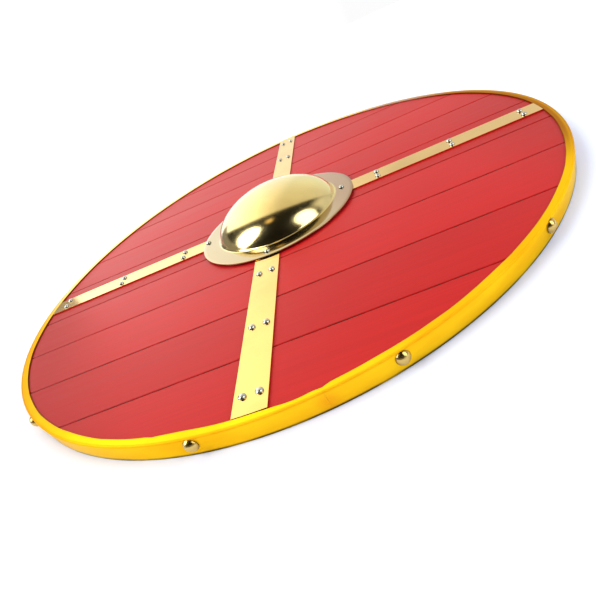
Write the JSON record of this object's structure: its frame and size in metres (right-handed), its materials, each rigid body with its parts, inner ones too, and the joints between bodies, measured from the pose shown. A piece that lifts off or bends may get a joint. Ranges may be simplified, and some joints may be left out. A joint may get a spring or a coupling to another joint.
{
  "type": "viking shield",
  "caption": "Round plank shield with a domed metal boss over the hand hole, crossed straps, a rim band and a grip bar at the back.",
  "frame": {"origin": "on the ground plane below the middle of the shield, which lies on its rim with the boss up", "axes": "+Z out of the front of the board; +X along the planks towards the right-hand strap; +Y across the planks towards the far strap"},
  "size_m": [0.61, 0.61, 0.0512],
  "materials": {
    "board_paint": "planks brushed with semi-gloss red paint, grain and joints showing through",
    "rim_yellow": "glossy golden yellow sheet band",
    "strap_brass": "pale satin rolled brass strip",
    "boss_brass": "spun and polished brass sheet",
    "rivet_steel": "bright steel, lightly tarnished",
    "nail_brass": "aged domed brass nail heads",
    "grip_wood": "plain oiled hardwood"
  },
  "bodies": {
    "root": {"boss": "boss_brass", "boss_rivet_far": "rivet_steel", "boss_rivet_left": "rivet_steel", "boss_rivet_near": "rivet_steel", "boss_rivet_right": "rivet_steel", "grip_bar": "grip_wood", "plank_1": "board_paint", "plank_2": "board_paint", "plank_3": "board_paint", "plank_4": "board_paint", "plank_5_left": "board_paint", "plank_5_right": "board_paint", "plank_6": "board_paint", "plank_7": "board_paint", "plank_8": "board_paint", "plank_9": "board_paint", "rim_band": "rim_yellow", "rim_nail_1": "nail_brass", "rim_nail_2": "nail_brass", "rim_nail_3": "nail_brass", "rim_nail_4": "nail_brass", "rim_nail_5": "nail_brass", "rim_nail_6": "nail_brass", "rim_nail_7": "nail_brass", "rim_nail_8": "nail_brass", "rivet_far_1": "rivet_steel", "rivet_far_2": "rivet_steel", "rivet_far_3": "rivet_steel", "rivet_far_4": "rivet_steel", "rivet_far_5": "rivet_steel", "rivet_far_6": "rivet_steel", "rivet_left_1": "rivet_steel", "rivet_left_2": "rivet_steel", "rivet_left_3": "rivet_steel", "rivet_left_4": "rivet_steel", "rivet_left_5": "rivet_steel", "rivet_left_6": "rivet_steel", "rivet_near_1": "rivet_steel", "rivet_near_2": "rivet_steel", "rivet_near_3": "rivet_steel", "rivet_near_4": "rivet_steel", "rivet_near_5": "rivet_steel", "rivet_near_6": "rivet_steel", "rivet_right_1": "rivet_steel", "rivet_right_2": "rivet_steel", "rivet_right_3": "rivet_steel", "rivet_right_4": "rivet_steel", "rivet_right_5": "rivet_steel", "rivet_right_6": "rivet_steel", "strap_far": "strap_brass", "strap_left": "strap_brass", "strap_near": "strap_brass", "strap_right": "strap_brass"}
  },
  "joints": []
}
